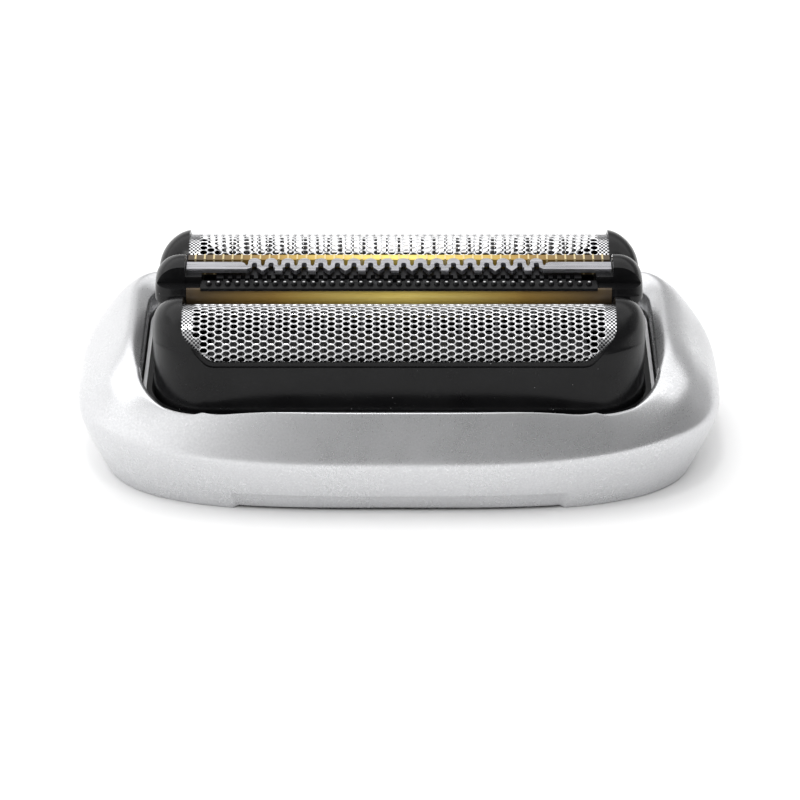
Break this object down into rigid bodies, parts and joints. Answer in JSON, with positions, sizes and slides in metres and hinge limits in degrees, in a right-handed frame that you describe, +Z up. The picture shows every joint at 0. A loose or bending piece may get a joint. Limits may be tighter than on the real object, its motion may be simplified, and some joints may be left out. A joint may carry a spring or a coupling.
{
  "type": "shaver foil head",
  "caption": "Clip-on foil head for an electric shaver: silver oval frame around spring-floated black foil units with perforated foils, a wavy trimmer comb between them and oscillating inner blades",
  "frame": {"origin": "middle of the frame's flat bottom rim", "axes": "+X along the head's length, front is -Y, +Z up through the foils"},
  "size_m": [0.057, 0.0288, 0.0182],
  "materials": {
    "frame_silver": "metallic silver lacquer on moulded plastic, fine sparkle",
    "bright_trim": "polished",
    "black_gloss": "satin to gloss moulded black",
    "black_matte": "moulded black, satin",
    "dark_matte": "moulded dark grey",
    "bridge_plastic": "moulded grey",
    "spring_steel": "drawn wire",
    "foil_steel": "electroformed thin sheet",
    "blade_steel": "ground",
    "comb_steel": "fine brushed",
    "dark_steel": "dark coated",
    "gold_metal": "gold-toned, satin"
  },
  "bodies": {
    "cassette": {"outer_frame": "frame_silver", "window_trim": "bright_trim", "chassis": "black_gloss", "base_plate": "dark_matte", "front_float_springs": "spring_steel", "rear_float_springs": "spring_steel", "trimmer_float_springs": "spring_steel"},
    "front_element": {"front_foil_frame": "black_gloss", "front_foil": "foil_steel", "front_foil_clamp": "dark_matte"},
    "rear_element": {"rear_foil_frame": "black_gloss", "rear_foil": "foil_steel", "rear_foil_clamp": "dark_matte"},
    "trimmer_element": {"trimmer_frame": "black_gloss", "trimmer_comb": "comb_steel", "skin_guard": "black_matte", "front_guard_rail": "gold_metal", "rear_guard_rail": "gold_metal", "trimmer_retainer": "dark_matte"},
    "front_cutter": {"front_cutter_blades": "blade_steel", "front_cutter_carrier": "dark_matte", "front_cutter_bridge": "bridge_plastic", "front_cutter_springs": "spring_steel"},
    "rear_cutter": {"rear_cutter_blades": "blade_steel", "rear_cutter_carrier": "dark_matte", "rear_cutter_bridge": "bridge_plastic", "rear_cutter_springs": "spring_steel"},
    "trimmer_cutter": {"trimmer_blade": "dark_steel", "trimmer_blade_carrier": "dark_matte", "trimmer_blade_spring": "spring_steel"}
  },
  "joints": [
    {"name": "front_float", "type": "slide", "parent": "cassette", "child": "front_element", "axis": [0, 0, 1], "range_m": [-0.0015, 0], "stiffness_N_per_m": 400, "springref_m": 0.001, "deforming": ["front_float_springs"]},
    {"name": "rear_float", "type": "slide", "parent": "cassette", "child": "rear_element", "axis": [0, 0, 1], "range_m": [-0.0015, 0], "stiffness_N_per_m": 400, "springref_m": 0.001, "deforming": ["rear_float_springs"]},
    {"name": "trimmer_float", "type": "slide", "parent": "cassette", "child": "trimmer_element", "axis": [0, 0, 1], "range_m": [-0.0015, 0], "stiffness_N_per_m": 400, "springref_m": 0.001, "deforming": ["trimmer_float_springs"]},
    {"name": "front_cutter_slide", "type": "slide", "parent": "front_element", "child": "front_cutter", "axis": [1, 0, 0], "range_m": [-0.001, 0.001]},
    {"name": "rear_cutter_slide", "type": "slide", "parent": "rear_element", "child": "rear_cutter", "axis": [1, 0, 0], "range_m": [-0.001, 0.001]},
    {"name": "trimmer_blade_slide", "type": "slide", "parent": "trimmer_element", "child": "trimmer_cutter", "axis": [1, 0, 0], "range_m": [-0.001, 0.001]}
  ],
  "couplings": [
    {"joint": "trimmer_blade_slide", "follows": "rear_cutter_slide", "ratio": 1}
  ]
}
